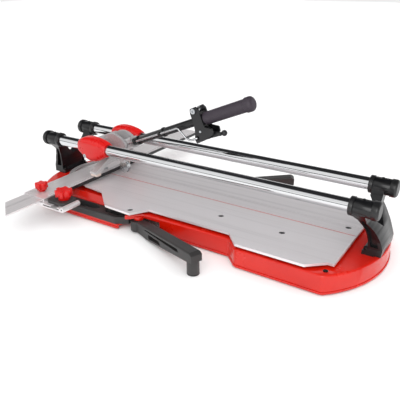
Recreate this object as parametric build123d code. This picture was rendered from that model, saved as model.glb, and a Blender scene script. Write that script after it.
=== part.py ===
"""Manual tile cutter with two guide rails, for tiles up to about 60 cm.

X runs along the rails, +Y goes away from the operator's long side, +Z is up.
The origin is on the floor, under the cutting line, midway between the rail sockets.
"""
from build123d import *
from math import cos, sin, radians, sqrt
import os

os.makedirs("parts", exist_ok=True)

# ---- driving dimensions, millimetres and degrees ---------------------------------------------
RAIL_R = 12.5            # 25 mm chromed tube
RAIL_WALL = 2.5
RAIL_Y = 59.0            # each rail's distance from the cutting line
RAIL_Z = 137.0
RAIL_END = 396.0         # where each rail stops inside its socket
SOCKET_X = 367.0         # mouth of the cast socket
SOCKET_END = 399.0       # and its outer end
SET_SCREW_X = 382.0      # grub screw in the top of each socket

FOOT_H = 3.0             # rubber feet, also the bottom edge of the base
DECK_Z = 40.0            # top of the rim of the base
DECK_SINK = 1.5          # the deck lies this far below its rim
SHEET = 3.0              # wall of the base
DECK_TOP = DECK_Z - DECK_SINK
DECK_UNDER = DECK_TOP - SHEET
TABLE_Z = 50.0           # top of the two table plates
PLATE_T = 5.0
SPLIT = 1.5              # half of the slot between the plates
PLATE_X = -264.0         # left edge of both plates

END_ARC_X = 217.0        # centre and radius of the round ends of the base
END_ARC_R = 205.0
WIDE_Y = 152.0           # half width of the base at its ends
NARROW_Y = 125.0         # and along its waist
WAIST_X = (-84.0, -56.0, 154.0, 182.0)
LEDGE_Z = 12.0           # low shelf that carries the storage tray
BAY_Y = 116.0            # back of that shelf
BAY_X = -86.0            # right end of that shelf
BEVEL = 13.0             # slope round the left end of the deck
FOOT_AT = (330.0, 136.0)  # the four outer rubber feet

CARRIAGE_X = -248.0      # middle of the carriage where it is parked
HOUSING_LEN = 84.0
BUSH_R = 15.0
PIVOT_X, PIVOT_Z = -226.0, 127.0     # handle hinge
HANDLE_TILT = 22.7       # parked angle of the handle
SEP_X, SEP_Z = -260.0, 112.0         # separator hinge
WHEEL_R = 11.0
WHEEL_X, WHEEL_Z = -212.0, 74.5

FENCE_X0, FENCE_X1 = -328.0, -262.0  # the fence lies across the table's left end
FENCE_Z0, FENCE_Z1 = 52.0, 60.0
FENCE_Y0, FENCE_Y1 = -214.0, 395.0
SWIVEL_X = -280.0
SWIVEL_R = 90.0          # radius of the protractor plate

ARM_LENGTH = 212.0       # support arm, pivot to leg
ARM_PIVOT = (-68.0, 131.0)
FRONT_ARM_ANGLE = 22.7   # how far each arm is swung out
REAR_ARM_ANGLE = 27.0
LEG_R = 12.0
GAP = 0.4                # running clearance between parts that slide past each other
FIT = 0.05               # radial clearance of pins in their bores
BRACKET_BOLTS = [(390, -33), (390, 33)]

PIN_R = 5.0              # handle hinge
SEP_PIN_R = 4.0          # separator hinge
SMALL_PIN_R = 2.5        # wheel axle and lever pin
SPACER_BOLT_R = 3.0
SWIVEL_BOLT_R = 4.0
ARM_PIN_R = 4.0


# ---- small shape helpers ---------------------------------------------------------------------
def block(x0, x1, y0, y1, z0, z1):
    return Pos((x0 + x1) / 2, (y0 + y1) / 2, (z0 + z1) / 2) * Box(x1 - x0, y1 - y0, z1 - z0)


def rod_x(r, x0, x1, y, z):
    return Pos((x0 + x1) / 2, y, z) * Rot(0, 90, 0) * Cylinder(r, x1 - x0)


def rod_y(r, y0, y1, x, z):
    return Pos(x, (y0 + y1) / 2, z) * Rot(90, 0, 0) * Cylinder(r, y1 - y0)


def rod_z(r, z0, z1, x, y):
    return Pos(x, y, (z0 + z1) / 2) * Cylinder(r, z1 - z0)


def face_of(*lines):
    outline = lines[0]
    for line in lines[1:]:
        outline = outline + line
    return make_face(outline)


def polygon(*points):
    return make_face(Polyline(*points, close=True))


def slab(face, z0, z1):
    """A level face, made solid from z0 to z1."""
    return Pos(0, 0, z0) * extrude(face, amount=z1 - z0)


def side_cut(face, y0, y1):
    """A face drawn in x and z, made solid from y0 to y1."""
    return Pos(0, (y0 + y1) / 2, 0) * extrude(Plane.XZ * face, amount=(y1 - y0) / 2, both=True)


def end_cut(face, x0, x1):
    """A face drawn in y and z, made solid from x0 to x1."""
    return Pos((x0 + x1) / 2, 0, 0) * extrude(Plane.YZ * face, amount=(x1 - x0) / 2, both=True)


def mirror_y(shape):
    return mirror(shape, about=Plane.XZ)


def mirror_x(shape):
    return mirror(shape, about=Plane.YZ)


def group(solids):
    """Several separate solids that share one node."""
    flat = []
    for item in solids:
        flat += item.solids()
    return Compound(children=flat)


# ---- base ------------------------------------------------------------------------------------
def base_outline(inset=0.0):
    corner = END_ARC_X + sqrt(END_ARC_R ** 2 - WIDE_Y ** 2)
    tip = END_ARC_X + END_ARC_R
    a, b, c, d = WAIST_X
    front = Polyline((-corner, -WIDE_Y), (a, -WIDE_Y), (b, -NARROW_Y), (c, -NARROW_Y),
                     (d, -WIDE_Y), (corner, -WIDE_Y))
    right = ThreePointArc((corner, -WIDE_Y), (tip, 0), (corner, WIDE_Y))
    back = Polyline((corner, WIDE_Y), (d, WIDE_Y), (c, NARROW_Y), (b, NARROW_Y), (a, WIDE_Y),
                    (-corner, WIDE_Y))
    left = ThreePointArc((-corner, WIDE_Y), (-tip, 0), (-corner, -WIDE_Y))
    outline = fillet(face_of(front, right, back, left).vertices(), 14)
    return offset(outline, -inset) if inset else outline


def base_block(inset, bottom, top):
    """The outside of the base, or with an inset its inside."""
    outline = base_outline(inset)
    bay = polygon((-500, -200), (BAY_X + inset, -200), (BAY_X + inset, -BAY_Y + inset),
                  (-500, -BAY_Y + inset))
    low = slab(outline, bottom, LEDGE_Z - inset)
    body = outline - bay
    middle = slab(body, bottom if inset else LEDGE_Z - 1, top - BEVEL)
    bevel_end = BAY_X - 16
    left = body & (Pos(-400, 0) * Rectangle(2 * (400 + BAY_X), 400))
    right = body & (Pos(400 + bevel_end, 0) * Rectangle(800, 400))
    slope = Pos(0, 0, top - BEVEL) * extrude(left, amount=BEVEL, taper=45)
    return low + middle + slope + slab(right, top - BEVEL, top)


def base_shell():
    """Pressed and welded tray, open below, with a low shelf at its front left."""
    shell = base_block(0, FOOT_H, DECK_Z)
    rim = shell.edges().filter_by_position(Axis.Z, DECK_Z - 0.01, DECK_Z + 0.01)
    rounded = [e for e in rim if e.bounding_box().min.X > -60]
    shell = fillet(rounded, 3.5)
    shell += slab(base_outline(-1.5) - base_outline(1.0), FOOT_H, FOOT_H + 4)
    shell -= base_block(SHEET, FOOT_H - 5, DECK_UNDER)
    shell -= slab(base_outline(9) & Pos(0, 0) * Rectangle(1000, 2 * (BAY_Y - 15)),
                  DECK_TOP, DECK_Z + 1)
    arch = block(BAY_X, -14, 118, 170, FOOT_H - 1, 31)
    corner = polygon((-114, -165), (-80, -165), (-80, -118), (-98, -124))
    shell = shell - arch - mirror_y(arch) - slab(corner, FOOT_H - 1, LEDGE_Z + 0.01)
    for sx in (-1, 1):
        for sy in (-1, 1):
            top = LEDGE_Z - 1 if (sx, sy) == (-1, -1) else DECK_UNDER + 1
            post = rod_z(7, FOOT_H + 3, top, sx * FOOT_AT[0], sy * FOOT_AT[1])
            shell += post & base_block(1.0, FOOT_H, DECK_Z - 1)
    for y in (-ARM_PIVOT[1], ARM_PIVOT[1]):
        shell += rod_z(11, 28.4, DECK_UNDER + 1, ARM_PIVOT[0] + 2, y * 0.985)
        shell -= rod_z(ARM_PIN_R + FIT, 20, 34, ARM_PIVOT[0], y)
    for x, y in BRACKET_BOLTS:
        shell -= rod_z(3.2, 30, 45, x, y) + rod_z(3.2, 30, 45, -x, y)
    return shell


def spine():
    """Hat-section steel beam under the cutting line, which ties the two ends together."""
    beam = block(-396, 396, -22, 22, FOOT_H + 1, DECK_UNDER - 0.3)
    return beam - block(-400, 400, -19, 19, FOOT_H, DECK_UNDER - 4)


def rubber_feet():
    """Five pads: one under the middle of the beam, four on the base's lower edge."""
    feet = [block(-30, 30, -22, 22, 0, FOOT_H + 1)]
    spots = [(sx * FOOT_AT[0], sy * FOOT_AT[1]) for sx in (-1, 1) for sy in (-1, 1)]
    feet += [rod_z(9, 0, FOOT_H + 2.9, x, y) for x, y in spots]
    return group(feet)


def base_screws():
    """Countersunk screws that hold the deck's corners and the tray."""
    spots = [(352, -134), (352, 134), (205, 140), (-75, 140)]
    return group([rod_z(4.5, DECK_Z + 0.02, DECK_Z + 1.2, x, y) - rod_z(2, DECK_Z + 0.5, DECK_Z + 2, x, y)
                  for x, y in spots])


# ---- split table -----------------------------------------------------------------------------
def plate_outline():
    """The front plate seen from above, with the cut-out for the tray at its left."""
    return polygon((PLATE_X, -SPLIT), (362, -SPLIT), (362, -121), (350, -121), (318, -149.5),
                   (181, -149.5), (150, -117), (-47, -117), (-71, -154), (-143, -150),
                   (-203, -97), (PLATE_X, -90))


def rear_outline():
    return polygon((PLATE_X, SPLIT), (362, SPLIT), (362, 121), (350, 121), (318, 149.5),
                   (181, 149.5), (150, 117), (-47, 117), (-79, 149.5), (-216, 149.5),
                   (-250, 121), (PLATE_X, 121))


PLATE_HOLES = {"front": [(-81, -138), (98, -60), (236, -61)], "rear": [(337, 28)]}
BLIND_STUDS = {"front": [(-150, -60)], "rear": [(98, 60), (236, 61), (-150, 60)]}
HOLE_R = 6.5
HOLE_DEPTH = 3.8         # of the counterbore that the screw heads sit in


def table_plate(side):
    face = plate_outline() if side == "front" else rear_outline()
    plate = slab(face, TABLE_Z - PLATE_T, TABLE_Z)
    for x, y in PLATE_HOLES[side]:
        plate -= rod_z(HOLE_R, TABLE_Z - HOLE_DEPTH, TABLE_Z + 1, x, y)
        plate -= rod_z(2.5, TABLE_Z - PLATE_T - 1, TABLE_Z, x, y)
    for x, y in BLIND_STUDS[side]:
        plate -= rod_z(2.5, TABLE_Z - PLATE_T - 1, TABLE_Z - 2, x, y)
    if side == "rear":
        plate -= block(-270, 370, 38, 39.2, TABLE_Z - 0.6, TABLE_Z + 1)
    return plate


def plate_screws(side):
    """Button screws sunk in the plate, and blind studs pressed in from below."""
    screws = []
    for x, y in PLATE_HOLES[side]:
        head = rod_z(HOLE_R - 0.3, TABLE_Z - HOLE_DEPTH, TABLE_Z - 2.2, x, y)
        head -= Pos(x, y, TABLE_Z - 3) * extrude(RegularPolygon(2.2, 6), amount=3)
        screws.append(head + rod_z(2.4, TABLE_Z - PLATE_T - 1.2, TABLE_Z - HOLE_DEPTH, x, y))
    for x, y in BLIND_STUDS[side]:
        screws.append(rod_z(2.4, TABLE_Z - PLATE_T - 1.2, TABLE_Z - 2.1, x, y))
    return group(screws)


def table_buffers(side):
    """Rubber springs that push the outer edge of a plate up."""
    s = -1 if side == "front" else 1
    bottom = DECK_TOP
    ring = rod_z(8, bottom, TABLE_Z - PLATE_T - 0.1, 0, 0) - rod_z(3, bottom - 1, TABLE_Z, 0, 0)
    return group([Pos(x, s * y, 0) * ring for x, y in ((-120, 90), (40, 90), (290, 92))])


def breaking_bar():
    """T-section bar: its rib fills the slot between the plates and the tile breaks over it."""
    foot = block(PLATE_X + 3, 358, -11, 11, DECK_TOP, TABLE_Z - PLATE_T - 0.2)
    return foot + block(PLATE_X + 3, 358, -1.1, 1.1, TABLE_Z - PLATE_T - 0.2, TABLE_Z - 0.4)


# ---- storage tray ----------------------------------------------------------------------------
TRAY_TOP = 28.0
TRAY_X = (-318.0, -90.0)


def storage_tray():
    """Dished plastic tray for spare wheels, standing on the low shelf."""
    x0, x1 = TRAY_X
    outline = polygon((x0, -WIDE_Y), (x1 - 26, -WIDE_Y), (x1, -136), (x1, -BAY_Y - 1),
                      (x0, -BAY_Y - 1))
    outline = fillet(outline.vertices().filter_by(lambda v: v.X < x0 + 1), 15)
    tray = slab(outline, LEDGE_Z, TRAY_TOP)
    tray = fillet(tray.edges().filter_by_position(Axis.Z, TRAY_TOP - 0.1, TRAY_TOP + 0.1), 3)
    lens = Pos(-212, -133) * scale(Circle(12), (3.0, 1.0, 1.0)).face()
    tray -= slab(lens, LEDGE_Z + 3, TRAY_TOP + 1)
    tray -= slab(Pos(-135, -132) * SlotOverall(46, 17), LEDGE_Z + 3, TRAY_TOP + 1)
    return tray


def spare_wheels():
    """Two spare scoring wheels lying in the tray."""
    wheels = []
    for x in (-226, -198):
        disc = rod_z(9, LEDGE_Z + 3, LEDGE_Z + 5, x, -133)
        wheels.append(disc - rod_z(2.5, LEDGE_Z, LEDGE_Z + 8, x, -133))
    return group(wheels)


# ---- rails and their end brackets ------------------------------------------------------------
def rail(side):
    y = side * RAIL_Y
    return rod_x(RAIL_R, -RAIL_END, RAIL_END, y, RAIL_Z) - rod_x(RAIL_R - RAIL_WALL, -500, 500, y, RAIL_Z)


def bracket_side():
    """Side view: a leg that sweeps outward as it goes down."""
    bottom = DECK_TOP
    inner = ThreePointArc((SOCKET_X, RAIL_Z - 15), (386, 92), (393, 50))
    foot = Polyline((393, 50), (391, 47.5), (384, 45.5), (384, bottom), (406, bottom),
                    (406, DECK_Z + 0.05), (419, DECK_Z + 0.05), (420, 54))
    outer = ThreePointArc((420, 54), (409.5, 81), (390, 108))
    head = Polyline((390, 108), (390, RAIL_Z), (SOCKET_X, RAIL_Z), (SOCKET_X, RAIL_Z - 15))
    return face_of(inner, foot, outer, head)


def bracket_front(grow=0.0):
    """End view: two arms that rise from one foot to the two rails."""
    bottom = DECK_TOP
    half = [(40, bottom), (38.5, 52), (39, 68), (45, 90), (58, 112), (74, 128), (74, RAIL_Z),
            (44, RAIL_Z), (40, 124), (21, 101), (0, 84)]
    other = [(-y, z) for y, z in reversed(half[:-1])]
    return polygon(*half, *other)


def right_bracket():
    body = side_cut(bracket_side(), -80, 80) & end_cut(bracket_front(), 350, 430)
    rim = ThreePointArc((384, 112), (401, 86), (412, 56))
    recess = side_cut(face_of(rim, Polyline((412, 56), (398, 56), (391.5, 84), (381, 108), (384, 112))),
                      -80, 80)
    skin = end_cut(bracket_front() - offset(bracket_front(), -7), 340, 440)
    flank = block(340, 440, -80, -30, 50, 125) + block(340, 440, 30, 80, 50, 125)
    body -= recess & skin & flank
    for side in (-1, 1):
        y = side * RAIL_Y
        body += rod_x(16.2, SOCKET_X, SOCKET_END, y, RAIL_Z)
    for side in (-1, 1):
        body -= rod_x(RAIL_R + FIT, SOCKET_X - 20, RAIL_END + FIT, side * RAIL_Y, RAIL_Z)
    for x, y in BRACKET_BOLTS:
        body -= rod_z(3.2, 30, 50, x, y) + rod_z(5.3, 45.5, 58, x, y)
    for side in (-1, 1):
        body -= rod_z(3.0, RAIL_Z + 14, RAIL_Z + 20, SET_SCREW_X, side * RAIL_Y)
    return body


def bracket_bolts():
    """Hexagon-socket bolts through the feet of both brackets."""
    bottom = DECK_UNDER
    bolts = []
    for x, y in BRACKET_BOLTS:
        bolt = rod_z(3.1, bottom, 45.6, x, y) + rod_z(4.8, 45.6, 51, x, y)
        bolt -= Pos(x, y, 48) * extrude(RegularPolygon(2.6, 6), amount=5)
        bolts += [bolt, mirror_x(bolt)]
    return group(bolts)


def rail_collars():
    """Plastic rings that close the socket mouths and wipe the rails."""
    ring = rod_x(17.5, SOCKET_X - 8, SOCKET_X - 0.1, 0, RAIL_Z) - rod_x(RAIL_R + FIT, 300, 400, 0, RAIL_Z)
    ring = fillet(ring.edges().filter_by(GeomType.CIRCLE).sort_by(Axis.X)[:2], 1.2)
    return group([Pos(0, s * RAIL_Y, 0) * r for s in (-1, 1) for r in (ring, mirror_x(ring))])


def rail_end_caps():
    """Domed plastic caps on the outer ends of the sockets."""
    cap = rod_x(17.6, SOCKET_END + 0.1, SOCKET_END + 13, 0, RAIL_Z)
    cap = fillet(cap.edges().filter_by(GeomType.CIRCLE).sort_by(Axis.X)[-1:], 5)
    return group([Pos(0, s * RAIL_Y, 0) * c for s in (-1, 1) for c in (cap, mirror_x(cap))])


def rail_screws():
    """Set screws in the tops of the sockets."""
    screw = rod_z(2.9, RAIL_Z + 14, RAIL_Z + 17.2, SET_SCREW_X, 0)
    screw -= Pos(SET_SCREW_X, 0, RAIL_Z + 15.5) * extrude(RegularPolygon(1.6, 6), amount=5)
    return group([Pos(0, s * RAIL_Y, 0) * c for s in (-1, 1) for c in (screw, mirror_x(screw))])


# ---- carriage --------------------------------------------------------------------------------
def housing(side):
    """Tapered plastic cover round the bushes on one rail, lofted through five sections."""
    x0 = CARRIAGE_X - HOUSING_LEN / 2
    x1 = CARRIAGE_X + HOUSING_LEN / 2
    y = side * RAIL_Y
    stations = [(x0, 15.5, 121, 153, 12), (x0 + 15, 18, 113, 160, 13), (x0 + 36, 19, 105, 162, 14),
                (x1 - 24, 18.5, 110, 159, 13), (x1, 15, 122, 151.5, 11)]
    sections = []
    for x, half, low, high, r in stations:
        plane = Plane(origin=(x, y, (low + high) / 2), x_dir=(0, 1, 0), z_dir=(1, 0, 0))
        sections.append(plane * RectangleRounded(2 * half, high - low, r))
    shell = loft(sections)
    shell -= rod_x(BUSH_R, x0 + 8, x1 - 8, y, RAIL_Z)
    shell -= rod_x(RAIL_R + GAP, x0 - 5, x1 + 5, y, RAIL_Z)
    y0, y1 = sorted((y + side * 15, y + side * 25))
    return shell - rod_y(5.2, y0, y1, CARRIAGE_X - 20, 118)


def carriage_housings():
    """The two mirrored covers."""
    return group([housing(-1), housing(1)])


def bushings():
    """Two sintered bushes on each rail."""
    rings = []
    for side in (-1, 1):
        for x0 in (CARRIAGE_X - 33.5, CARRIAGE_X + 13.5):
            ring = rod_x(BUSH_R - FIT, x0, x0 + 20, side * RAIL_Y, RAIL_Z)
            rings.append(ring - rod_x(RAIL_R + FIT, x0 - 1, x0 + 30, side * RAIL_Y, RAIL_Z))
    return group(rings)


def housing_screws():
    """Pan-head screws, one low on the outer face of each housing and two inside."""
    screws = []
    for side in (-1, 1):
        head = rod_y(4.8, RAIL_Y + 15.1, RAIL_Y + 17.6, CARRIAGE_X - 20, 118)
        head -= rod_y(1.6, RAIL_Y + 16.4, RAIL_Y + 20, CARRIAGE_X - 20, 118)
        screws.append(head if side > 0 else mirror_y(head))
    return group(screws)


CHEEK_Y = (14.0, 22.0)


def carriage_body():
    """Cast cross piece: two arched cheeks for the handle, two lugs for the separator."""
    arch_top = ThreePointArc((-258, 150), (-222, 163), (-188, 143))
    arch = face_of(arch_top, Polyline((-188, 143), (-190, 134), (-206, 114), (-222, 108), (-272, 104),
                                      (-274, 120), (-258, 150)))
    body = None
    for side in (-1, 1):
        y0, y1 = sorted((side * CHEEK_Y[0], side * CHEEK_Y[1]))
        cheek = side_cut(arch, y0, y1)
        body = cheek if body is None else body + cheek
        y0, y1 = sorted((side * CHEEK_Y[0], side * (RAIL_Y - 19.3)))
        body += block(-272, -246, y0, y1, 124, 150)
    body += block(-272, -256, -CHEEK_Y[0], CHEEK_Y[0], 127, 150)
    body -= rod_y(PIN_R + FIT, -30, 30, PIVOT_X, PIVOT_Z)
    body -= rod_y(SEP_PIN_R + FIT, -30, 30, SEP_X, SEP_Z)
    return body


def handle_pin():
    pin = rod_y(PIN_R, -CHEEK_Y[1] - 1, CHEEK_Y[1] + 1, PIVOT_X, PIVOT_Z)
    return pin + rod_y(8, CHEEK_Y[1] + 0.1, CHEEK_Y[1] + 3, PIVOT_X, PIVOT_Z) + \
        rod_y(8, -CHEEK_Y[1] - 3, -CHEEK_Y[1] - 0.1, PIVOT_X, PIVOT_Z)


def separator_pin():
    pin = rod_y(SEP_PIN_R, -CHEEK_Y[1] - 1, CHEEK_Y[1] + 1, SEP_X, SEP_Z)
    return pin + rod_y(6.5, CHEEK_Y[1] + 0.1, CHEEK_Y[1] + 2.5, SEP_X, SEP_Z) + \
        rod_y(6.5, -CHEEK_Y[1] - 2.5, -CHEEK_Y[1] - 0.1, SEP_X, SEP_Z)


def separator_magnet():
    """Magnet in the carriage that steadies the separator when it is idle."""
    return rod_z(6, 123.2, 127, SEP_X, 0)


# ---- separator -------------------------------------------------------------------------------
PAD_TOP = 69.0
PAD_Z = 62.2


def separator():
    """Cast wing with a foot on each side of the cutting line."""
    half = [(0, 122), (9, 122), (13, 112), (13, 98), (34, 88), (52, 79), (63, PAD_TOP + 6), (63, PAD_TOP),
            (44, PAD_TOP), (34, 76), (14, 82), (0, 84)]
    other = [(-y, z) for y, z in reversed(half[1:-1])]
    wing = end_cut(polygon(*half, *other), SEP_X - 10, SEP_X + 10)
    hub = rod_y(11, -13, 13, SEP_X, SEP_Z)
    blank = rod_y(60, -70, 70, SEP_X, SEP_Z - 49)
    return ((wing & blank) + hub) - rod_y(SEP_PIN_R + FIT, -40, 40, SEP_X, SEP_Z)


def separator_pads():
    pad = block(SEP_X - 9, SEP_X + 9, 45, 62, PAD_Z, PAD_TOP)
    pad = fillet(pad.edges().filter_by(Axis.X).sort_by(Axis.Z)[:2], 2.5)
    return group([pad, mirror_y(pad)])


# ---- handle, drawn along its own axis and then tilted ----------------------------------------
HANDLE = Pos(PIVOT_X, 0, PIVOT_Z) * Rot(0, -HANDLE_TILT, 0)
BAR_R = 9.0
GRIP = (270.0, 372.0)
CHEEK_GAP = 12.6
SPACER = (257.0, 22.5)     # along and above the bar's axis
LEVER_PIN = (256.0, -22.0)
ROD_R = 2.2                 # control rod, beside the bar
ROD_Y = -18.6
ROD_START = 47.0


def handle_yoke():
    """Cast head that turns on the pin, clamps the bar and carries the wheel holder."""
    head = rod_y(13, -CHEEK_GAP, CHEEK_GAP, 0, 0)
    neck = block(0, 54, -CHEEK_GAP, CHEEK_GAP, -12.8, 12.8)
    neck = fillet(neck.edges().filter_by(Axis.X), 4)
    body = head + neck - rod_x(BAR_R, 22, 60, 0, 0)
    body = HANDLE * body
    drop = side_cut(polygon((-234, 120), (-218, 120), (-205, 92), (-219, 92)), -9, 9)
    return body + drop - rod_y(PIN_R + FIT, -30, 30, PIVOT_X, PIVOT_Z)


def handle_bar():
    bar = rod_x(BAR_R, 22, 340, 0, 0) - rod_x(BAR_R - 2, 20, 350, 0, 0)
    return HANDLE * bar


def grip():
    """Rubber sleeve with a flange at its inner end."""
    sleeve = rod_x(13.7, GRIP[0], GRIP[1], 0, 0)
    sleeve = fillet(sleeve.edges().filter_by(GeomType.CIRCLE), 1.5)
    return HANDLE * (sleeve - rod_x(BAR_R, GRIP[0] - 1, 341, 0, 0))


def grip_cap():
    knob = rod_x(15.5, GRIP[1] + 0.1, GRIP[1] + 18, 0, 0)
    edges = knob.edges().filter_by(GeomType.CIRCLE).sort_by(Axis.X)
    knob = fillet(edges[-1:], 8)
    return HANDLE * fillet(knob.edges().filter_by(GeomType.CIRCLE).sort_by(Axis.X)[:1], 2)


def side_plates():
    """Two plates clamped on the bar, which carry the spacer and the release lever."""
    s, t = SPACER
    face = polygon((246, 20), (249, 29), (264, 30), (269, 22), (269.2, -15.5), (286, -24), (285, -35),
                   (262, -42), (238, -44), (236, -36), (244, -16), (246, 0))
    face = fillet(face.vertices(), 2.5)
    plates = []
    for side in (-1, 1):
        y0, y1 = sorted((side * 12.0, side * 15.5))
        plate = side_cut(face, y0, y1) - rod_y(SPACER_BOLT_R + FIT, -30, 30, s, t)
        plates.append(plate - rod_y(SMALL_PIN_R + FIT, -30, 30, *LEVER_PIN))
    plates[0] -= rod_y(4.4, -20, -10, LEVER_PIN[0] - 12, LEVER_PIN[1] - 11)
    saddle = block(246, 270, -12, 12, -11.5, 11.5) - rod_x(BAR_R, 240, 280, 0, 0)
    return HANDLE * (plates[0] + plates[1] + saddle)


def spacer_tube():
    s, t = SPACER
    return HANDLE * (rod_y(5.5, -11.9, 11.9, s, t) - rod_y(SPACER_BOLT_R + FIT, -20, 20, s, t))


def spacer_bolt():
    s, t = SPACER
    bolt = rod_y(SPACER_BOLT_R, -18, 18, s, t) + rod_y(5.6, -19.5, -15.6, s, t) + rod_y(5.6, 15.6, 19.5, s, t)
    bolt -= rod_y(2.4, -24, -17.2, s, t)
    return HANDLE * bolt


def release_lever():
    """Thumb lever with a ball end, squeezed toward the grip."""
    s, t = LEVER_PIN
    face = polygon((s - 8, t + 6), (s + 8, t + 6), (s + 14, t - 6), (s + 42, t - 16), (s + 44, t - 21),
                   (s + 8, t - 20), (s - 8, t - 20), (s - 20, t - 20), (s - 20, t - 6))
    face = fillet(face.vertices(), 2)
    body = side_cut(face, -9.5, 9.5)
    body += Pos(s + 46, 0, t - 18) * Sphere(6.4)
    body -= side_cut(polygon((s + 12, t - 30), (s + 12, t + 10), (s + 39, t + 10), (s + 39, t - 30)), 4, 20)
    body -= side_cut(polygon((s + 12, t - 30), (s + 12, t + 10), (s + 39, t + 10), (s + 39, t - 30)), -20, -4)
    body -= rod_y(SMALL_PIN_R + FIT, -20, 20, s, t)
    hole = side_cut(Pos(s - 12, t - 11) * SlotOverall(12, 7, rotation=90), -20, -5)
    return HANDLE * (body - hole)


def control_rod():
    """Bright wire from the carriage to the lever, bent down at its outer end."""
    bend = LEVER_PIN[0] - 12
    path = FilletPolyline((ROD_START, ROD_Y, 0), (204, ROD_Y, 0), (217, ROD_Y, -26), (228, ROD_Y, -33.5),
                          (bend, ROD_Y, -33), (bend, -6.5, -33), radius=[6, 6, 8, 4])
    start = Plane(origin=(ROD_START, ROD_Y, 0), z_dir=(1, 0, 0))
    return HANDLE * sweep(start * Circle(ROD_R), path=path)


def rod_guides():
    """Two eyes that hold the control rod beside the bar."""
    eyes = []
    for s in (70, 150):
        eye = rod_x(ROD_R + 2, s - 2.5, s + 2.5, ROD_Y, 0)
        eye += block(s - 2.5, s + 2.5, ROD_Y, -BAR_R + 0.5, -2.5, 2.5)
        eye += rod_x(BAR_R + 1.8, s - 2.5, s + 2.5, 0, 0)
        eye -= rod_x(ROD_R + 0.3, s - 9, s + 9, ROD_Y, 0)
        eyes.append(HANDLE * (eye - rod_x(BAR_R, s - 9, s + 9, 0, 0)))
    return group(eyes)


# ---- scoring wheel ---------------------------------------------------------------------------
def wheel_holder():
    """Oval steel fork below the yoke."""
    face = face_of(Line((-218, 91.9), (-206, 91.9)),
                   ThreePointArc((-206, 91.9), (-200, 78), (-206, 66)),
                   ThreePointArc((-206, 66), (WHEEL_X, 64), (-218, 66)),
                   ThreePointArc((-218, 66), (-224, 78), (-218, 91.9)))
    holder = side_cut(face, -5.5, 5.5)
    holder -= rod_y(WHEEL_R + 1.2, -2.1, 2.1, WHEEL_X, WHEEL_Z)
    holder -= side_cut(polygon((-230, 74), (-195, 74), (-195, 50), (-230, 50)), -2.1, 2.1)
    return holder - rod_y(SMALL_PIN_R + FIT, -20, 20, WHEEL_X, WHEEL_Z)


def wheel_axle():
    return rod_y(SMALL_PIN_R, -7.5, 7.5, WHEEL_X, WHEEL_Z)


def lever_pin():
    return HANDLE * rod_y(SMALL_PIN_R, -16.4, 16.4, *LEVER_PIN)


def scoring_wheel():
    """Carbide disc with a V edge."""
    disc = rod_y(WHEEL_R, -1.6, 1.6, WHEEL_X, WHEEL_Z)
    disc = chamfer(disc.edges().filter_by(GeomType.CIRCLE), 1.2)
    return disc - rod_y(SMALL_PIN_R + FIT, -10, 10, WHEEL_X, WHEEL_Z)


# ---- fence -----------------------------------------------------------------------------------
def protractor_plate():
    """Round plate under the fence, with an arc slot."""
    disc = rod_z(SWIVEL_R, FENCE_Z0 - 5.5, FENCE_Z0 - GAP, SWIVEL_X, 0)
    disc &= block(-500, FENCE_X1 - 4.5, -200, 200, 40, 60)
    slot = rod_z(78, 40, 60, SWIVEL_X, 0) - rod_z(72, 30, 70, SWIVEL_X, 0)
    slot &= block(-500, SWIVEL_X - 34, -60, 60, 30, 70)
    return disc - slot - rod_z(SWIVEL_BOLT_R + FIT, 30, 70, SWIVEL_X, 0)


def protractor_pedestal():
    """Plastic block that lifts the protractor off the deck."""
    pedestal = rod_z(62, DECK_TOP, FENCE_Z0 - 5.6, SWIVEL_X, 0)
    pedestal &= block(-500, FENCE_X1 - 4.5, -200, 200, 30, 60)
    return pedestal - rod_z(SWIVEL_BOLT_R + FIT, 30, 70, SWIVEL_X, 0)


def swivel_bolt():
    bolt = rod_z(SWIVEL_BOLT_R, DECK_TOP, FENCE_Z1 + 0.2, SWIVEL_X, 0)
    bolt += rod_z(7.5, FENCE_Z1 + 0.2, FENCE_Z1 + 1.9, SWIVEL_X, 0)
    return bolt - Pos(SWIVEL_X, 0, FENCE_Z1 + 0.6) * extrude(RegularPolygon(3, 6), amount=4)


KNOB_AT = (-302.0, -184.0)
CLAMP_AT = (-227.0, -187.0)
STOP_Y = (-219.0, -170.0)
STOP_X1 = -206.0


def fence_profile():
    """Hollow aluminium extrusion across the table, open at the operator's end."""
    bar = block(FENCE_X0, FENCE_X1, FENCE_Y0, FENCE_Y1, FENCE_Z0, FENCE_Z1)
    bar = fillet(bar.edges().filter_by(Axis.Y), 0.8)
    bar -= block(FENCE_X0 + 3.5, FENCE_X1 - 5.5, FENCE_Y0 - 1, FENCE_Y1 - 30, FENCE_Z0 + 1.6, FENCE_Z1 - 1.6)
    bar -= block(FENCE_X0 + 10, FENCE_X0 + 11, FENCE_Y0 - 1, FENCE_Y1 + 1, FENCE_Z1 - 0.5, FENCE_Z1 + 1)
    bar -= rod_z(SWIVEL_BOLT_R + FIT, 30, 70, SWIVEL_X, 0)
    return bar - rod_z(3.5, FENCE_Z1 - 3, 70, *KNOB_AT)


def fence_ruler():
    """Thin scale strip on the fence's upper face."""
    return block(FENCE_X1 - 9.5, FENCE_X1 - 2, FENCE_Y0 + 20, FENCE_Y1 - 10, FENCE_Z1 + 0.02, FENCE_Z1 + 0.5)


def fence_strip():
    """Black plastic strip clipped along the face that the tile is pushed against."""
    strip = block(FENCE_X1 + 0.02, FENCE_X1 + 1.4, -160, FENCE_Y1 - 6, FENCE_Z0 + 0.2, FENCE_Z1 - 0.3)
    return fillet(strip.edges().filter_by(Axis.Y).sort_by(Axis.X)[-2:], 0.4)


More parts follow.
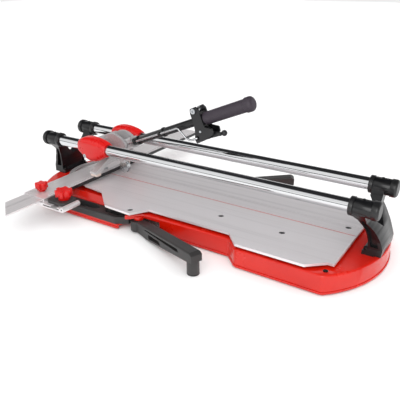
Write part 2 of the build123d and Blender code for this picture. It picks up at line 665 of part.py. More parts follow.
def stop_arm():
    """C-slot profile screwed below the fence's front end, with a hooked tip."""
    z1 = FENCE_Z0 - 0.1
    x, y = CLAMP_AT
    arm = block(-300, STOP_X1, *STOP_Y, 43.5, z1)
    arm -= block(-262, STOP_X1 - 6, -240, -150, 46.2, z1 - 2.2)
    arm -= block(x - 9, x + 9, -240, -150, z1 - 3, z1 + 1)
    curl = ThreePointArc((9, 47), (6, 54), (0, 54.5))
    lip = Polyline((0, 54.5), (0, 52), (3.5, 50.5), (5, 47.5), (-0.2, 46.5), (-0.2, 43.5))
    hook = side_cut(face_of(Polyline((-0.2, 43.5), (6, 43.5), (9, 47)), curl, lip), *STOP_Y)
    return arm + Pos(STOP_X1, 0, 0) * hook - rod_z(3.2, 30, 70, x, y)


def clamp_block():
    """Plastic shoe under the clamp knob, keyed into the slot of the stop arm."""
    x, y = CLAMP_AT
    shoe = slab(Pos(x - 6, y - 2) * RectangleRounded(54, 43, 10), FENCE_Z0 + 0.2, FENCE_Z0 + 7)
    shoe = fillet(shoe.edges().filter_by_position(Axis.Z, FENCE_Z0 + 6.9, FENCE_Z0 + 7.1), 2)
    shoe &= block(FENCE_X1 + 0.5, STOP_X1 - 0.2, -230, -160, 50, 62)
    return shoe - rod_z(3.2, 30, 70, x, y)


def lobed_knob(r, lobes, depth, z0, z1, at):
    """Moulded star knob."""
    disc = Circle(r)
    for i in range(lobes):
        a = radians(360 / lobes * (i + 0.5))
        disc -= Pos((r + depth * 0.6) * cos(a), (r + depth * 0.6) * sin(a)) * Circle(depth * 1.5)
    knob = slab(disc.face(), z0, z1)
    rim = knob.edges().filter_by_position(Axis.Z, z1 - 0.1, z1 + 0.1)
    knob = fillet(rim, 1.6)
    return Pos(*at, 0) * knob


def extension_knob():
    """Small star knob whose stud locks the extension bar."""
    knob = lobed_knob(14, 5, 4.5, FENCE_Z1 + 6, FENCE_Z1 + 20, KNOB_AT)
    knob += rod_z(8, FENCE_Z1 + 0.5, FENCE_Z1 + 6.1, *KNOB_AT)
    return knob + rod_z(3, FENCE_Z1 - 1.9, FENCE_Z1 + 1, *KNOB_AT)


def clamp_knob():
    """Large star knob on a tall skirt, which clamps the stop arm's shoe."""
    z0 = FENCE_Z0 + 7.2
    knob = lobed_knob(19, 6, 5, z0 + 8, z0 + 22, CLAMP_AT)
    skirt = rod_z(13, z0, z0 + 8.1, *CLAMP_AT)
    return knob + skirt + rod_z(3, 44, z0 + 1, *CLAMP_AT)


def extension_bar():
    """Flat bar that slides out of the fence; its tip is cut at a slant."""
    x0, x1 = FENCE_X0 + 4.0, FENCE_X1 - 6.0
    face = polygon((x0, -268), (x1, -310), (x1, -25), (SWIVEL_X + 6, -25), (SWIVEL_X + 6, -125),
                   (SWIVEL_X - 6, -125), (SWIVEL_X - 6, -25), (x0, -25))
    bar = slab(face, FENCE_Z0 + 2.0, FENCE_Z1 - 2.0)
    return bar - block(x0 + 24, x0 + 26, -400, 0, FENCE_Z1 - 2.6, FENCE_Z1)


# ---- support arms ----------------------------------------------------------------------------
def arm_side():
    """Side view of a support arm: it rises from the base to table height and ends in a leg."""
    tip = ARM_LENGTH + LEG_R
    return polygon((-4, 4), (-4, 27), (24, 28), (tip - 8, 49), (tip, 44), (tip, 30),
                   (ARM_LENGTH - LEG_R, 26), (100, 11), (56, 4))


def support_arm():
    """Ribbed plastic arm lying along +X, its pivot at the origin, its outer side toward -Y."""
    body = side_cut(arm_side(), -9, 15)
    body = fillet(body.edges().filter_by(lambda e: e.length > 150 and e.center().Z > 35), 3)
    leg = rod_z(LEG_R, FOOT_H, 44, ARM_LENGTH, 3)
    body += leg + rod_z(16, 4, 27, 0, 0)
    slot = side_cut(polygon((44, 22.5), (52, 25.5), (176, 39), (180, 33), (170, 31)), -10, -1)
    pocket = side_cut(polygon((62, 9), (62, 19), (104, 23.5), (112, 16)), -10, -1)
    body -= slot + pocket
    inner = side_cut(polygon((44, 9), (44, 24), (176, 38), (180, 27), (104, 14)), 5, 16)
    return body - inner - rod_z(ARM_PIN_R + FIT, 0, 60, 0, 0)


def arm_foot():
    """Rubber tip under the leg."""
    tip = rod_z(LEG_R, 0, FOOT_H - 0.05, ARM_LENGTH, 3)
    return chamfer(tip.edges().filter_by(GeomType.CIRCLE).sort_by(Axis.Z)[:1], 1.2)


def place_arm(shape, side):
    if side == "front":
        return Pos(ARM_PIVOT[0], -ARM_PIVOT[1], 0) * Rot(0, 0, -FRONT_ARM_ANGLE) * shape
    return Pos(ARM_PIVOT[0], ARM_PIVOT[1], 0) * Rot(0, 0, REAR_ARM_ANGLE) * mirror_y(shape)


def arm_pins():
    """Shouldered pins that hang the arms from the deck."""
    pins = []
    for y in (-ARM_PIVOT[1], ARM_PIVOT[1]):
        pins.append(rod_z(ARM_PIN_R, 1.2, 33.9, ARM_PIVOT[0], y) + rod_z(9, 0.9, 3.4, ARM_PIVOT[0], y))
    return group(pins)


# ---- write every node ------------------------------------------------------------------------
nodes = {
    "base_shell": base_shell(),
    "base_spine": spine(),
    "rubber_feet": rubber_feet(),
    "base_screws": base_screws(),
    "arm_pins": arm_pins(),
    "breaking_bar": breaking_bar(),
    "front_table_buffers": table_buffers("front"),
    "rear_table_buffers": table_buffers("rear"),
    "front_table_plate": table_plate("front"),
    "rear_table_plate": table_plate("rear"),
    "front_plate_screws": plate_screws("front"),
    "rear_plate_screws": plate_screws("rear"),
    "storage_tray": storage_tray(),
    "spare_wheels": spare_wheels(),
    "right_bracket": right_bracket(),
    "left_bracket": mirror_x(right_bracket()),
    "bracket_bolts": bracket_bolts(),
    "rail_collars": rail_collars(),
    "rail_end_caps": rail_end_caps(),
    "rail_screws": rail_screws(),
    "front_rail": rail(-1),
    "rear_rail": rail(1),
    "protractor_pedestal": protractor_pedestal(),
    "protractor_plate": protractor_plate(),
    "swivel_bolt": swivel_bolt(),
    "carriage_housings": carriage_housings(),
    "bushings": bushings(),
    "housing_screws": housing_screws(),
    "carriage_body": carriage_body(),
    "handle_pin": handle_pin(),
    "separator_pin": separator_pin(),
    "separator_magnet": separator_magnet(),
    "separator": separator(),
    "separator_pads": separator_pads(),
    "handle_yoke": handle_yoke(),
    "handle_bar": handle_bar(),
    "grip": grip(),
    "grip_cap": grip_cap(),
    "side_plates": side_plates(),
    "spacer_tube": spacer_tube(),
    "spacer_bolt": spacer_bolt(),
    "rod_guides": rod_guides(),
    "wheel_holder": wheel_holder(),
    "lever_pin": lever_pin(),
    "wheel_axle": wheel_axle(),
    "scoring_wheel": scoring_wheel(),
    "release_lever": release_lever(),
    "control_rod": control_rod(),
    "fence_profile": fence_profile(),
    "fence_ruler": fence_ruler(),
    "fence_strip": fence_strip(),
    "stop_arm": stop_arm(),
    "clamp_block": clamp_block(),
    "extension_knob": extension_knob(),
    "clamp_knob": clamp_knob(),
    "extension_bar": extension_bar(),
    "front_arm": place_arm(support_arm(), "front"),
    "rear_arm": place_arm(support_arm(), "rear"),
    "front_arm_foot": place_arm(arm_foot(), "front"),
    "rear_arm_foot": place_arm(arm_foot(), "rear"),
}
for node, shape in nodes.items():
    export_step(shape, f"parts/{node}.step")
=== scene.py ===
import math

import bpy
from mathutils import Matrix, Vector

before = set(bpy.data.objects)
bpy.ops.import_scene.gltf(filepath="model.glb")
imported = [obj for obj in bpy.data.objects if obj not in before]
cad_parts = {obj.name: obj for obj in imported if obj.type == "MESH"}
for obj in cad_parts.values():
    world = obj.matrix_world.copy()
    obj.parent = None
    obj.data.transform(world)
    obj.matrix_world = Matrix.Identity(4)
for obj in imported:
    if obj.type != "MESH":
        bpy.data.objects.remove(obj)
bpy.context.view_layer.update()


# ---- base -------------------------------------------------------------------------------------
# One deep-drawn steel tray, open underneath, stoved in glossy red enamel. The same enamel is on
# the breaking bar, the ridge that shows as a red line between the two halves of the table.
def linear(colour):
    """An sRGB hex colour as linear RGBA."""
    channels = [int(colour[i:i + 2], 16) / 255 for i in (1, 3, 5)]
    return [c / 12.92 if c <= 0.04045 else ((c + 0.055) / 1.055) ** 2.4 for c in channels] + [1.0]


def add_node(material, kind, settings, links=()):
    """A shader node with its values set, colour stops included, and its sockets fed from links."""
    node = material.node_tree.nodes.new(kind)
    for name, value in settings.items():
        if name == "stops":
            elements = node.color_ramp.elements
            elements[0].position, elements[0].color = value[0][0], linear(value[0][1])
            elements[1].position, elements[1].color = value[-1][0], linear(value[-1][1])
            for position, colour in value[1:-1]:
                elements.new(position).color = linear(colour)
        elif isinstance(name, int) or name in node.inputs:
            node.inputs[name].default_value = value
        else:
            setattr(node, name, value)
    for socket, output in links:
        material.node_tree.links.new(output, node.inputs[socket])
    return node


def start_material(name):
    """An empty material and the point in metres on the piece, which every pattern is drawn from."""
    material = bpy.data.materials.new(name)
    material.use_nodes = True
    material.node_tree.nodes.clear()
    place = add_node(material, "ShaderNodeTexCoord", {})
    return material, place.outputs["Object"]


def end_material(material, surface):
    add_node(material, "ShaderNodeOutputMaterial", {}, [("Surface", surface.outputs["BSDF"])])


def dress(material, names, edge_mm=0.4):
    """Puts the finish on CAD pieces, and breaks their sharp edges by a small real radius."""
    for name in names:
        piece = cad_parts[name]
        piece.data.materials.clear()
        piece.data.materials.append(material)
        for face in piece.data.polygons:
            face.material_index = 0
        if edge_mm:
            weld = piece.modifiers.new("weld", "WELD")
            weld.merge_threshold = 0.00001
            edge = piece.modifiers.new("edge", "BEVEL")
            edge.width = edge_mm / 1000
            edge.segments = 2
            edge.limit_method = "ANGLE"
            edge.angle_limit = math.radians(35)
            edge.use_clamp_overlap = True
            edge.harden_normals = True


enamel, point = start_material("red_stove_enamel")
# orange peel of a sprayed enamel is about 3 mm from crest to crest and very shallow
peel = add_node(enamel, "ShaderNodeTexNoise", {"Scale": 330.0, "Detail": 2.0}, [("Vector", point)])
cloud = add_node(enamel, "ShaderNodeTexNoise", {"Scale": 14.0, "Detail": 4.0}, [("Vector", point)])
red = add_node(enamel, "ShaderNodeValToRGB", {"stops": [(0.35, "#c41404"), (0.7, "#d41b06")]},
               [("Fac", cloud.outputs["Fac"])])
haze = add_node(enamel, "ShaderNodeMapRange",
                {"From Min": 0.3, "From Max": 0.7, "To Min": 0.2, "To Max": 0.3},
                [("Value", cloud.outputs["Fac"])])
skin = add_node(enamel, "ShaderNodeBump", {"Strength": 0.12, "Distance": 0.0002},
                [("Height", peel.outputs["Fac"])])
end_material(enamel, add_node(enamel, "ShaderNodeBsdfPrincipled",
                              {"IOR": 1.5, "Coat Weight": 0.25, "Coat Roughness": 0.12},
                              [("Base Color", red.outputs["Color"]), ("Roughness", haze.outputs["Result"]),
                               ("Normal", skin.outputs["Normal"])]))
dress(enamel, ["base_shell", "breaking_bar"], 0.6)


# ---- rubber feet, table springs and arm tips ------------------------------------------------------
# Moulded black rubber: five pads under the base, the rings that spring the table plates up and
# the tips of the support arms. Matt, slightly grey where it has picked up dust.
rubber, point = start_material("moulded_black_rubber")
grain = add_node(rubber, "ShaderNodeTexNoise", {"Scale": 900.0, "Detail": 3.0}, [("Vector", point)])
black = add_node(rubber, "ShaderNodeValToRGB", {"stops": [(0.3, "#141414"), (0.75, "#2a2a2a")]},
                 [("Fac", grain.outputs["Fac"])])
dusty = add_node(rubber, "ShaderNodeBump", {"Strength": 0.3, "Distance": 0.0002},
                 [("Height", grain.outputs["Fac"])])
end_material(rubber, add_node(rubber, "ShaderNodeBsdfPrincipled", {"Roughness": 0.75, "IOR": 1.52},
                              [("Base Color", black.outputs["Color"]), ("Normal", dusty.outputs["Normal"])]))
dress(rubber, ["rubber_feet", "front_table_buffers", "rear_table_buffers", "front_arm_foot", "rear_arm_foot"])


# ---- zinc-plated steel ------------------------------------------------------------------------------
# The folded beam under the cutting line and the plain pins and bolts are steel with bright zinc
# plating, which leaves a soft blue-grey lustre with cloudy patches.
zinc, point = start_material("bright_zinc_plated_steel")
patch = add_node(zinc, "ShaderNodeTexNoise", {"Scale": 180.0, "Detail": 4.0}, [("Vector", point)])
silver = add_node(zinc, "ShaderNodeValToRGB", {"stops": [(0.3, "#a9adb1"), (0.7, "#cdd0d2")]},
                  [("Fac", patch.outputs["Fac"])])
soft = add_node(zinc, "ShaderNodeMapRange", {"To Min": 0.26, "To Max": 0.42},
                [("Value", patch.outputs["Fac"])])
end_material(zinc, add_node(zinc, "ShaderNodeBsdfPrincipled", {"Metallic": 1.0},
                            [("Base Color", silver.outputs["Color"]), ("Roughness", soft.outputs["Result"])]))
dress(zinc, ["base_spine", "arm_pins", "swivel_bolt", "housing_screws", "handle_pin", "separator_pin",
             "spacer_bolt", "lever_pin", "wheel_axle"], 0.3)


# ---- black oxide screws ---------------------------------------------------------------------------
# Socket-head screws of the deck, plates, brackets and rails: steel with an oiled black oxide.
oxide, point = start_material("oiled_black_oxide_steel")
film = add_node(oxide, "ShaderNodeTexNoise", {"Scale": 400.0, "Detail": 3.0}, [("Vector", point)])
ink = add_node(oxide, "ShaderNodeValToRGB", {"stops": [(0.3, "#2b2b2c"), (0.75, "#4a4a4b")]},
               [("Fac", film.outputs["Fac"])])
end_material(oxide, add_node(oxide, "ShaderNodeBsdfPrincipled", {"Metallic": 1.0, "Roughness": 0.36},
                             [("Base Color", ink.outputs["Color"])]))
dress(oxide, ["base_screws", "front_plate_screws", "rear_plate_screws", "bracket_bolts", "rail_screws"], 0.2)


# ---- split table ------------------------------------------------------------------------------------
# Two rolled aluminium plates, brushed along their length, which rock on the rubber rings when
# the tile is snapped. Brush lines are 0.1 to 0.3 mm wide and are drawn about 1 mm wide to show.
brushed, point = start_material("brushed_aluminium_sheet")
run = add_node(brushed, "ShaderNodeMapping", {"Scale": (4.0, 900.0, 900.0)}, [("Vector", point)])
line = add_node(brushed, "ShaderNodeTexNoise", {"Scale": 1.0, "Detail": 5.0, "Roughness": 0.6},
                [("Vector", run.outputs["Vector"])])
wide = add_node(brushed, "ShaderNodeMapping", {"Scale": (1.2, 70.0, 70.0)}, [("Vector", point)])
band = add_node(brushed, "ShaderNodeTexNoise", {"Scale": 1.0, "Detail": 2.0},
                [("Vector", wide.outputs["Vector"])])
both = add_node(brushed, "ShaderNodeMath", {"operation": "ADD"},
                [(0, line.outputs["Fac"]), (1, band.outputs["Fac"])])
metal = add_node(brushed, "ShaderNodeValToRGB", {"stops": [(0.7, "#dad6d8"), (1.0, "#ebe7e9")]},
                 [("Fac", both.outputs["Value"])])
rough = add_node(brushed, "ShaderNodeMapRange",
                 {"From Min": 0.7, "From Max": 1.3, "To Min": 0.34, "To Max": 0.5},
                 [("Value", both.outputs["Value"])])
score = add_node(brushed, "ShaderNodeBump", {"Strength": 0.12, "Distance": 0.0002},
                 [("Height", line.outputs["Fac"])])
end_material(brushed, add_node(brushed, "ShaderNodeBsdfPrincipled", {"Metallic": 0.6},
                               [("Base Color", metal.outputs["Color"]),
                               ("Roughness", rough.outputs["Result"]),
                                ("Normal", score.outputs["Normal"])]))
dress(brushed, ["front_table_plate", "rear_table_plate"], 0.5)


# ---- storage tray, arms and clamp shoe -----------------------------------------------------------------
# Injection-moulded polypropylene in graphite grey with a fine spark-eroded texture, which keeps
# it matt; grains are about 0.5 mm.
graphite, point = start_material("textured_graphite_polypropylene")
spark = add_node(graphite, "ShaderNodeTexNoise", {"Scale": 1600.0, "Detail": 2.0}, [("Vector", point)])
flow = add_node(graphite, "ShaderNodeTexNoise", {"Scale": 18.0, "Detail": 3.0}, [("Vector", point)])
grey = add_node(graphite, "ShaderNodeValToRGB", {"stops": [(0.35, "#2c2a2a"), (0.7, "#383636")]},
                [("Fac", flow.outputs["Fac"])])
texture = add_node(graphite, "ShaderNodeBump", {"Strength": 0.2, "Distance": 0.0001},
                   [("Height", spark.outputs["Fac"])])
end_material(graphite, add_node(graphite, "ShaderNodeBsdfPrincipled", {"Roughness": 0.48, "IOR": 1.49},
                                [("Base Color", grey.outputs["Color"]),
                                ("Normal", texture.outputs["Normal"])]))
dress(graphite, ["storage_tray", "clamp_block", "front_arm", "rear_arm"], 0.6)


# ---- end brackets, handle bar and side plates ---------------------------------------------------------
# Cast alloy brackets and the steel of the handle, all in semi-gloss black powder coat. The coat
# has a fine pebble of about 1 mm.
powder, point = start_material("semi_gloss_black_powder_coat")
pebble = add_node(powder, "ShaderNodeTexNoise", {"Scale": 1000.0, "Detail": 2.0}, [("Vector", point)])
pit = add_node(powder, "ShaderNodeTexNoise", {"Scale": 30.0, "Detail": 3.0}, [("Vector", point)])
coal = add_node(powder, "ShaderNodeValToRGB", {"stops": [(0.35, "#0d0d0f"), (0.7, "#161618")]},
                [("Fac", pit.outputs["Fac"])])
coat = add_node(powder, "ShaderNodeBump", {"Strength": 0.18, "Distance": 0.0001},
                [("Height", pebble.outputs["Fac"])])
end_material(powder, add_node(powder, "ShaderNodeBsdfPrincipled", {"Roughness": 0.28, "IOR": 1.5},
                              [("Base Color", coal.outputs["Color"]), ("Normal", coat.outputs["Normal"])]))
dress(powder, ["right_bracket", "left_bracket", "handle_bar", "side_plates"], 0.8)


# ---- rail collars, end caps, lever, guides and swivel pedestal -----------------------------------------
# Small black nylon mouldings, slightly shiny from the polished mould. The fence strip in the same black
# darkens the fence's side face where shade falls: painted shade.
nylon_and_painted_shade, point = start_material("black_nylon_and_painted_shade")
mould = add_node(nylon_and_painted_shade, "ShaderNodeTexNoise", {"Scale": 60.0, "Detail": 3.0}, [("Vector", point)])
dark = add_node(nylon_and_painted_shade, "ShaderNodeValToRGB", {"stops": [(0.35, "#161617"), (0.7, "#1f1f21")]},
                [("Fac", mould.outputs["Fac"])])
shine = add_node(nylon_and_painted_shade, "ShaderNodeMapRange", {"To Min": 0.3, "To Max": 0.44},
                 [("Value", mould.outputs["Fac"])])
end_material(nylon_and_painted_shade, add_node(nylon_and_painted_shade, "ShaderNodeBsdfPrincipled", {"IOR": 1.53},
                             [("Base Color", dark.outputs["Color"]), ("Roughness", shine.outputs["Result"])]))
# the fence strip is painted shade: a black band along the fence's side face, where that face lies in shade
dress(nylon_and_painted_shade, ["fence_strip", "rail_collars", "rail_end_caps", "release_lever", "rod_guides",
              "protractor_pedestal"], 0.4)


# ---- guide rails --------------------------------------------------------------------------------------
# Hard-chromed 25 mm steel tube, ground and polished. Its mirror shows a faint lengthwise haze
# where the carriage's bushes run.
chrome, point = start_material("polished_hard_chrome_tube")
track = add_node(chrome, "ShaderNodeMapping", {"Scale": (3.0, 500.0, 500.0)}, [("Vector", point)])
wear = add_node(chrome, "ShaderNodeTexNoise", {"Scale": 1.0, "Detail": 3.0},
                [("Vector", track.outputs["Vector"])])
gloss = add_node(chrome, "ShaderNodeMapRange", {"To Min": 0.04, "To Max": 0.12},
                 [("Value", wear.outputs["Fac"])])
bright = add_node(chrome, "ShaderNodeValToRGB", {"stops": [(0.3, "#d9dadc"), (0.7, "#e6e7e8")]},
                  [("Fac", wear.outputs["Fac"])])
end_material(chrome, add_node(chrome, "ShaderNodeBsdfPrincipled", {"Metallic": 1.0},
                              [("Base Color", bright.outputs["Color"]),
                              ("Roughness", gloss.outputs["Result"])]))
dress(chrome, ["front_rail", "rear_rail"], 0)


# ---- carriage -----------------------------------------------------------------------------------------
# Two glossy red mouldings slide on bronze bushes along the rails and carry a die-cast aluminium
# cross piece. The two clamp knobs are moulded in the same red plastic.
red_plastic, point = start_material("gloss_red_abs")
sink = add_node(red_plastic, "ShaderNodeTexNoise", {"Scale": 40.0, "Detail": 3.0}, [("Vector", point)])
cherry = add_node(red_plastic, "ShaderNodeValToRGB", {"stops": [(0.35, "#c80603"), (0.7, "#d20804")]},
                  [("Fac", sink.outputs["Fac"])])
polish = add_node(red_plastic, "ShaderNodeMapRange", {"To Min": 0.22, "To Max": 0.34},
                  [("Value", sink.outputs["Fac"])])
end_material(red_plastic, add_node(red_plastic, "ShaderNodeBsdfPrincipled", {"IOR": 1.54},
                                   [("Base Color", cherry.outputs["Color"]),
                                   ("Roughness", polish.outputs["Result"])]))
dress(red_plastic, ["carriage_housings", "extension_knob", "clamp_knob"], 0.8)

cast, point = start_material("shot_blasted_die_cast_aluminium")
shot = add_node(cast, "ShaderNodeTexNoise", {"Scale": 700.0, "Detail": 3.0}, [("Vector", point)])
pale = add_node(cast, "ShaderNodeValToRGB", {"stops": [(0.3, "#b4b1b2"), (0.7, "#d4d1d2")]},
                [("Fac", shot.outputs["Fac"])])
blast = add_node(cast, "ShaderNodeBump", {"Strength": 0.3, "Distance": 0.0002},
                 [("Height", shot.outputs["Fac"])])
end_material(cast, add_node(cast, "ShaderNodeBsdfPrincipled", {"Metallic": 0.6, "Roughness": 0.5},
                            [("Base Color", pale.outputs["Color"]), ("Normal", blast.outputs["Normal"])]))
dress(cast, ["carriage_body", "handle_yoke"], 0.6)

# the separator is a rougher sand-like casting, left pale; its grains are about 1 mm
pale_cast, point = start_material("rumbled_pale_zinc_casting")
tumble = add_node(pale_cast, "ShaderNodeTexNoise", {"Scale": 450.0, "Detail": 4.0}, [("Vector", point)])
chalk = add_node(pale_cast, "ShaderNodeValToRGB", {"stops": [(0.3, "#bfbdbd"), (0.7, "#e0dede")]},
                 [("Fac", tumble.outputs["Fac"])])
knock = add_node(pale_cast, "ShaderNodeBump", {"Strength": 0.5, "Distance": 0.0003},
                 [("Height", tumble.outputs["Fac"])])
end_material(pale_cast, add_node(pale_cast, "ShaderNodeBsdfPrincipled", {"Metallic": 0.45, "Roughness": 0.55},
                                 [("Base Color", chalk.outputs["Color"]),
                                 ("Normal", knock.outputs["Normal"])]))
dress(pale_cast, ["separator"], 0.6)

bronze, point = start_material("oil_filled_sintered_bronze")
pore = add_node(bronze, "ShaderNodeTexNoise", {"Scale": 1800.0, "Detail": 2.0}, [("Vector", point)])
tan = add_node(bronze, "ShaderNodeValToRGB", {"stops": [(0.3, "#7a5a34"), (0.7, "#a8834f")]},
               [("Fac", pore.outputs["Fac"])])
end_material(bronze, add_node(bronze, "ShaderNodeBsdfPrincipled", {"Metallic": 1.0, "Roughness": 0.45},
                              [("Base Color", tan.outputs["Color"])]))
dress(bronze, ["bushings"], 0.2)


# ---- separator pads -------------------------------------------------------------------------------------
# Pale nylon shoes under the separator, which press on the tile without marking it.
pads, point = start_material("natural_nylon")
milk = add_node(pads, "ShaderNodeTexNoise", {"Scale": 120.0, "Detail": 2.0}, [("Vector", point)])
cream = add_node(pads, "ShaderNodeValToRGB", {"stops": [(0.3, "#d8c4b8"), (0.7, "#e6d6cc")]},
                 [("Fac", milk.outputs["Fac"])])
end_material(pads, add_node(pads, "ShaderNodeBsdfPrincipled", {"Roughness": 0.5, "IOR": 1.53},
                            [("Base Color", cream.outputs["Color"])]))
dress(pads, ["separator_pads"], 0.5)


# ---- bright steel of the handle ---------------------------------------------------------------------------
# Drawn steel, turned or bent and left bright: control rod, spacer tube, wheel holder, magnet.
steel, point = start_material("bright_drawn_steel")
drawn = add_node(steel, "ShaderNodeTexNoise", {"Scale": 500.0, "Detail": 3.0}, [("Vector", point)])
white = add_node(steel, "ShaderNodeValToRGB", {"stops": [(0.3, "#c6c8ca"), (0.7, "#dcdee0")]},
                 [("Fac", drawn.outputs["Fac"])])
end_material(steel, add_node(steel, "ShaderNodeBsdfPrincipled", {"Metallic": 1.0, "Roughness": 0.2},
                             [("Base Color", white.outputs["Color"])]))
dress(steel, ["control_rod", "spacer_tube", "wheel_holder", "separator_magnet"], 0.3)

carbide, point = start_material("ground_tungsten_carbide")
ground = add_node(carbide, "ShaderNodeTexNoise", {"Scale": 2500.0, "Detail": 2.0}, [("Vector", point)])
slate = add_node(carbide, "ShaderNodeValToRGB", {"stops": [(0.3, "#6d6f73"), (0.7, "#8d8f93")]},
                 [("Fac", ground.outputs["Fac"])])
end_material(carbide, add_node(carbide, "ShaderNodeBsdfPrincipled", {"Metallic": 1.0, "Roughness": 0.28},
                               [("Base Color", slate.outputs["Color"])]))
dress(carbide, ["scoring_wheel", "spare_wheels"], 0.1)


# ---- grip ----------------------------------------------------------------------------------------------
# A soft rubber sleeve pushed over the bar, with a domed plug in its end. The rubber is a warm
# black with a fine moulded grain of about 1 mm.
soft_grip, point = start_material("soft_grained_grip_rubber")
leather = add_node(soft_grip, "ShaderNodeTexVoronoi", {"Scale": 900.0}, [("Vector", point)])
plum = add_node(soft_grip, "ShaderNodeValToRGB", {"stops": [(0.0, "#241d22"), (0.6, "#38303a")]},
                [("Fac", leather.outputs["Distance"])])
grained = add_node(soft_grip, "ShaderNodeBump", {"Strength": 0.35, "Distance": 0.0003},
                   [("Height", leather.outputs["Distance"])])
end_material(soft_grip, add_node(soft_grip, "ShaderNodeBsdfPrincipled", {"Roughness": 0.55, "IOR": 1.52},
                                 [("Base Color", plum.outputs["Color"]),
                                 ("Normal", grained.outputs["Normal"])]))
dress(soft_grip, ["grip", "grip_cap"], 0.8)


# ---- fence -----------------------------------------------------------------------------------------------
# Extruded aluminium with a clear satin anodise: the fence's hollow bar, its ruler, the round
# protractor plate, the extension and the stop arm. Die lines run along each extrusion.
anodised, point = start_material("clear_anodised_extrusion")
along = add_node(anodised, "ShaderNodeMapping", {"Scale": (700.0, 5.0, 700.0)}, [("Vector", point)])
die = add_node(anodised, "ShaderNodeTexNoise", {"Scale": 1.0, "Detail": 4.0},
               [("Vector", along.outputs["Vector"])])
satin = add_node(anodised, "ShaderNodeValToRGB", {"stops": [(0.3, "#dedadb"), (0.7, "#eeeaeb")]},
                 [("Fac", die.outputs["Fac"])])
lustre = add_node(anodised, "ShaderNodeMapRange", {"To Min": 0.3, "To Max": 0.46},
                  [("Value", die.outputs["Fac"])])
end_material(anodised, add_node(anodised, "ShaderNodeBsdfPrincipled", {"Metallic": 0.6},
                                [("Base Color", satin.outputs["Color"]),
                                ("Roughness", lustre.outputs["Result"])]))
dress(anodised, ["fence_profile", "stop_arm", "extension_bar"], 0.3)

# the rule is printed with a line every 5 mm, drawn 0.7 mm wide so that it shows; no figures
rule, point = start_material("printed_aluminium_rule")
spot = add_node(rule, "ShaderNodeSeparateXYZ", {}, [("Vector", point)])
steps = add_node(rule, "ShaderNodeMath", {"operation": "MULTIPLY", 1: 200.0}, [(0, spot.outputs["Y"])])
part = add_node(rule, "ShaderNodeMath", {"operation": "FRACT"}, [(0, steps.outputs["Value"])])
tick = add_node(rule, "ShaderNodeMath", {"operation": "LESS_THAN", 1: 0.14}, [(0, part.outputs["Value"])])
printed = add_node(rule, "ShaderNodeValToRGB", {"stops": [(0.0, "#d8d5d6"), (1.0, "#2a2829")]},
                  [("Fac", tick.outputs["Value"])])
end_material(rule, add_node(rule, "ShaderNodeBsdfPrincipled", {"Metallic": 0.3, "Roughness": 0.45},
                            [("Base Color", printed.outputs["Color"])]))
dress(rule, ["fence_ruler"], 0)

# the protractor has a line every 5 degrees in a band 10 mm wide at its rim
dial, point = start_material("printed_anodised_protractor")
SWIVEL = (-0.280, 0.0, 0.0)
REACH = 0.090
turned = add_node(dial, "ShaderNodeVectorMath", {"operation": "SUBTRACT", 1: SWIVEL}, [(0, point)])
axes = add_node(dial, "ShaderNodeSeparateXYZ", {}, [("Vector", turned.outputs["Vector"])])
flat = add_node(dial, "ShaderNodeCombineXYZ", {}, [("X", axes.outputs["X"]), ("Y", axes.outputs["Y"])])
reach = add_node(dial, "ShaderNodeVectorMath", {"operation": "LENGTH"}, [(0, flat.outputs["Vector"])])
angle = add_node(dial, "ShaderNodeMath", {"operation": "ARCTAN2"},
                 [(0, axes.outputs["Y"]), (1, axes.outputs["X"])])
turns = add_node(dial, "ShaderNodeMath", {"operation": "MULTIPLY", 1: 36 / math.pi},
                 [(0, angle.outputs["Value"])])
share = add_node(dial, "ShaderNodeMath", {"operation": "FRACT"}, [(0, turns.outputs["Value"])])
line_on = add_node(dial, "ShaderNodeMath", {"operation": "LESS_THAN", 1: 0.1}, [(0, share.outputs["Value"])])
rim_on = add_node(dial, "ShaderNodeMath", {"operation": "GREATER_THAN", 1: REACH - 0.010},
                  [(0, reach.outputs["Value"])])
mark = add_node(dial, "ShaderNodeMath", {"operation": "MULTIPLY"},
                [(0, line_on.outputs["Value"]), (1, rim_on.outputs["Value"])])
face = add_node(dial, "ShaderNodeValToRGB", {"stops": [(0.0, "#b9b4b5"), (1.0, "#2b292a")]},
                [("Fac", mark.outputs["Value"])])
end_material(dial, add_node(dial, "ShaderNodeBsdfPrincipled", {"Metallic": 0.5, "Roughness": 0.42},
                            [("Base Color", face.outputs["Color"])]))
dress(dial, ["protractor_plate"], 0.3)


# ---- floor, light and camera -------------------------------------------------------------------------------
# A wide pale floor under soft daylight from above, and a room that is dark overhead and behind
# but bright in front, which gives the chrome its dark and white bands.
ground_mesh = bpy.data.meshes.new("floor")
ground_mesh.from_pydata([(-9, -9, 0), (9, -9, 0), (9, 9, 0), (-9, 9, 0)], [], [(0, 1, 2, 3)])
floor = bpy.data.objects.new("floor", ground_mesh)
bpy.context.scene.collection.objects.link(floor)
paper, point = start_material("pale_paper")
fibre = add_node(paper, "ShaderNodeTexNoise", {"Scale": 3.0, "Detail": 2.0}, [("Vector", point)])
sheet_white = add_node(paper, "ShaderNodeValToRGB", {"stops": [(0.3, "#f6f6f6"), (0.7, "#f9f9f9")]},
                       [("Fac", fibre.outputs["Fac"])])
end_material(paper, add_node(paper, "ShaderNodeBsdfPrincipled", {"Roughness": 0.9, "Specular IOR Level": 0.1},
                             [("Base Color", sheet_white.outputs["Color"])]))
floor.data.materials.append(paper)

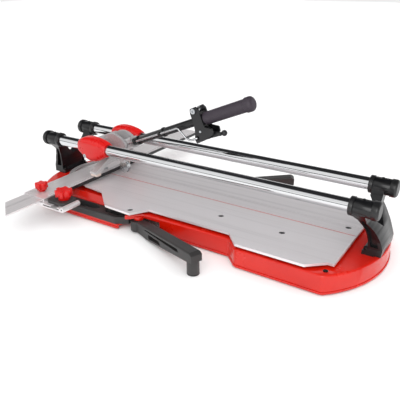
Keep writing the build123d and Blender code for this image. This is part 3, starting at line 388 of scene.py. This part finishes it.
room = bpy.data.worlds.new("room")
bpy.context.scene.world = room
room.use_nodes = True
room.node_tree.nodes.clear()
sky = add_node(room, "ShaderNodeTexCoord", {})
height = add_node(room, "ShaderNodeSeparateXYZ", {}, [("Vector", sky.outputs["Generated"])])
back = add_node(room, "ShaderNodeValToRGB",
                {"stops": [(0.0, "#f4f4f4"), (0.3, "#e4e4e4"), (0.42, "#303032"), (1.0, "#303032")]},
                [("Fac", height.outputs["Z"])])
front = add_node(room, "ShaderNodeValToRGB",
                 {"stops": [(0.0, "#efefef"), (0.03, "#303032"), (0.1, "#303032"), (0.15, "#ffffff"),
                            (0.8, "#ffffff"), (0.9, "#303032")]},
                 [("Fac", height.outputs["Z"])])
toward = add_node(room, "ShaderNodeMapRange", {"From Min": -0.2, "From Max": -0.4},
                  [("Value", height.outputs["Y"])])
walls = add_node(room, "ShaderNodeMix", {"data_type": "RGBA"},
                 [(0, toward.outputs["Result"]), (6, back.outputs["Color"]), (7, front.outputs["Color"])])
glow = add_node(room, "ShaderNodeBackground", {"Strength": 0.95}, [("Color", walls.outputs[2])])
add_node(room, "ShaderNodeOutputWorld", {}, [("Surface", glow.outputs["Background"])])


def soft_lamp(name, place, size, power):
    lamp = bpy.data.lights.new(name, "AREA")
    lamp.shape = "RECTANGLE"
    lamp.size, lamp.size_y = size
    lamp.energy = power
    holder = bpy.data.objects.new(name, lamp)
    holder.location = place
    holder.rotation_euler = (-Vector(place)).to_track_quat("-Z", "Y").to_euler()
    bpy.context.scene.collection.objects.link(holder)


soft_lamp("front_fill", (0.9, -2.2, 1.3), (1.8, 1.4), 22)

daylight = bpy.data.lights.new("daylight", "SUN")
daylight.energy = 2.8
daylight.angle = math.radians(120)
sun = bpy.data.objects.new("daylight", daylight)
sun.rotation_euler = (math.radians(-12), math.radians(14), 0)
sun.visible_glossy = False
bpy.context.scene.collection.objects.link(sun)

lens = bpy.data.cameras.new("camera")
lens.sensor_width = 36.0
lens.lens = 45.75
lens.clip_end = 50.0
eye = bpy.data.objects.new("camera", lens)
bpy.context.scene.collection.objects.link(eye)
TURN, DROP, ROLL = -0.5861, 0.4204, -0.0098
ahead = Vector((math.sin(TURN) * math.cos(DROP), math.cos(TURN) * math.cos(DROP), -math.sin(DROP)))
level = Vector((math.cos(TURN), -math.sin(TURN), 0))
upright = level.cross(ahead)
across = level * math.cos(ROLL) + upright * math.sin(ROLL)
above = upright * math.cos(ROLL) - level * math.sin(ROLL)
eye.matrix_world = Matrix.Translation((0.5857, -0.8730, 0.5090)) @ Matrix(
    (across, above, -ahead)).transposed().to_4x4()
bpy.context.scene.camera = eye
bpy.context.scene.view_settings.view_transform = "Standard"
